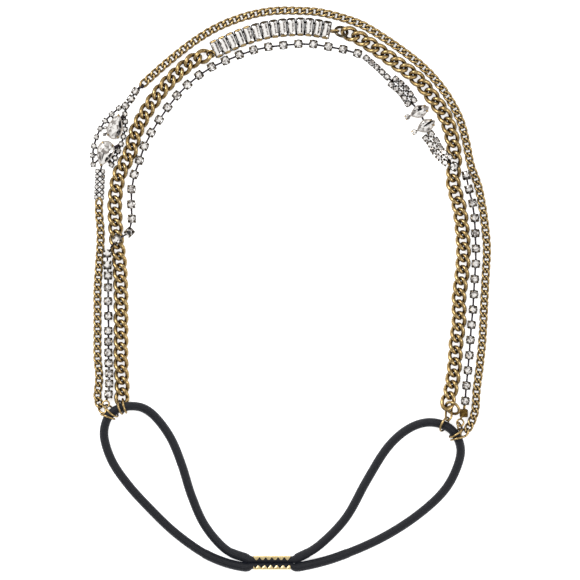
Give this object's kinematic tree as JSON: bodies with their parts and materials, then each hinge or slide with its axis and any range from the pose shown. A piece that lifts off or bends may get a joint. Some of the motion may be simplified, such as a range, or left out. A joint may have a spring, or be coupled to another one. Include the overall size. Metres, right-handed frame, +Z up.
{
  "type": "chain headband",
  "caption": "Round headband of curb chains, cup chain and stone ornaments, closed at the back by a loop of elastic in a metal crimp",
  "frame": {"origin": "Middle of the headband's outline on the table it lies on, measured without the elastic", "axes": "+Z up from the table, out of the side that shows; +Y from the elastic to the crown; +X to the right as seen from above"},
  "size_m": [0.1365, 0.1921, 0.0062],
  "materials": {
    "antique_brass": "antiqued brass, dark in the recesses",
    "dark_silver": "antiqued silver plate",
    "pale_gold": "bright pale gold plate",
    "crystal": "clear cut crystal on foil",
    "black_elastic": "black round elastic with a fine braided cover"
  },
  "bodies": {
    "root": {"heavy_chain_left": "antique_brass", "heavy_chain_right": "antique_brass", "fine_chain_left": "antique_brass", "fine_chain_crown": "antique_brass", "crown_row_cups": "dark_silver", "crown_row_stones": "crystal", "left_row_cups": "dark_silver", "left_row_stones": "crystal", "right_row_cups": "dark_silver", "right_row_stones": "crystal", "bar_setting": "antique_brass", "baguette_01": "crystal", "baguette_02": "crystal", "baguette_03": "crystal", "baguette_04": "crystal", "baguette_05": "crystal", "baguette_06": "crystal", "baguette_07": "crystal", "baguette_08": "crystal", "baguette_09": "crystal", "baguette_10": "crystal", "baguette_11": "crystal", "baguette_12": "crystal", "baguette_13": "crystal", "baguette_14": "crystal", "leaf_setting": "dark_silver", "leaf_upper_pear": "crystal", "leaf_lower_pear": "crystal", "leaf_small_stones": "crystal", "marquise_setting": "dark_silver", "upper_marquise": "crystal", "lower_marquise": "crystal", "marquise_small_stones": "crystal", "bar_jump_ring": "dark_silver", "elastic": "black_elastic", "crimp": "pale_gold", "left_heavy_ring_1": "antique_brass", "left_heavy_ring_2": "antique_brass", "left_row_ring": "antique_brass", "left_fine_ring": "antique_brass", "right_join_ring": "antique_brass", "right_oval_link": "antique_brass", "right_heavy_ring": "antique_brass", "right_row_link": "antique_brass", "right_row_ring": "antique_brass", "right_fine_ring": "antique_brass"}
  },
  "joints": []
}
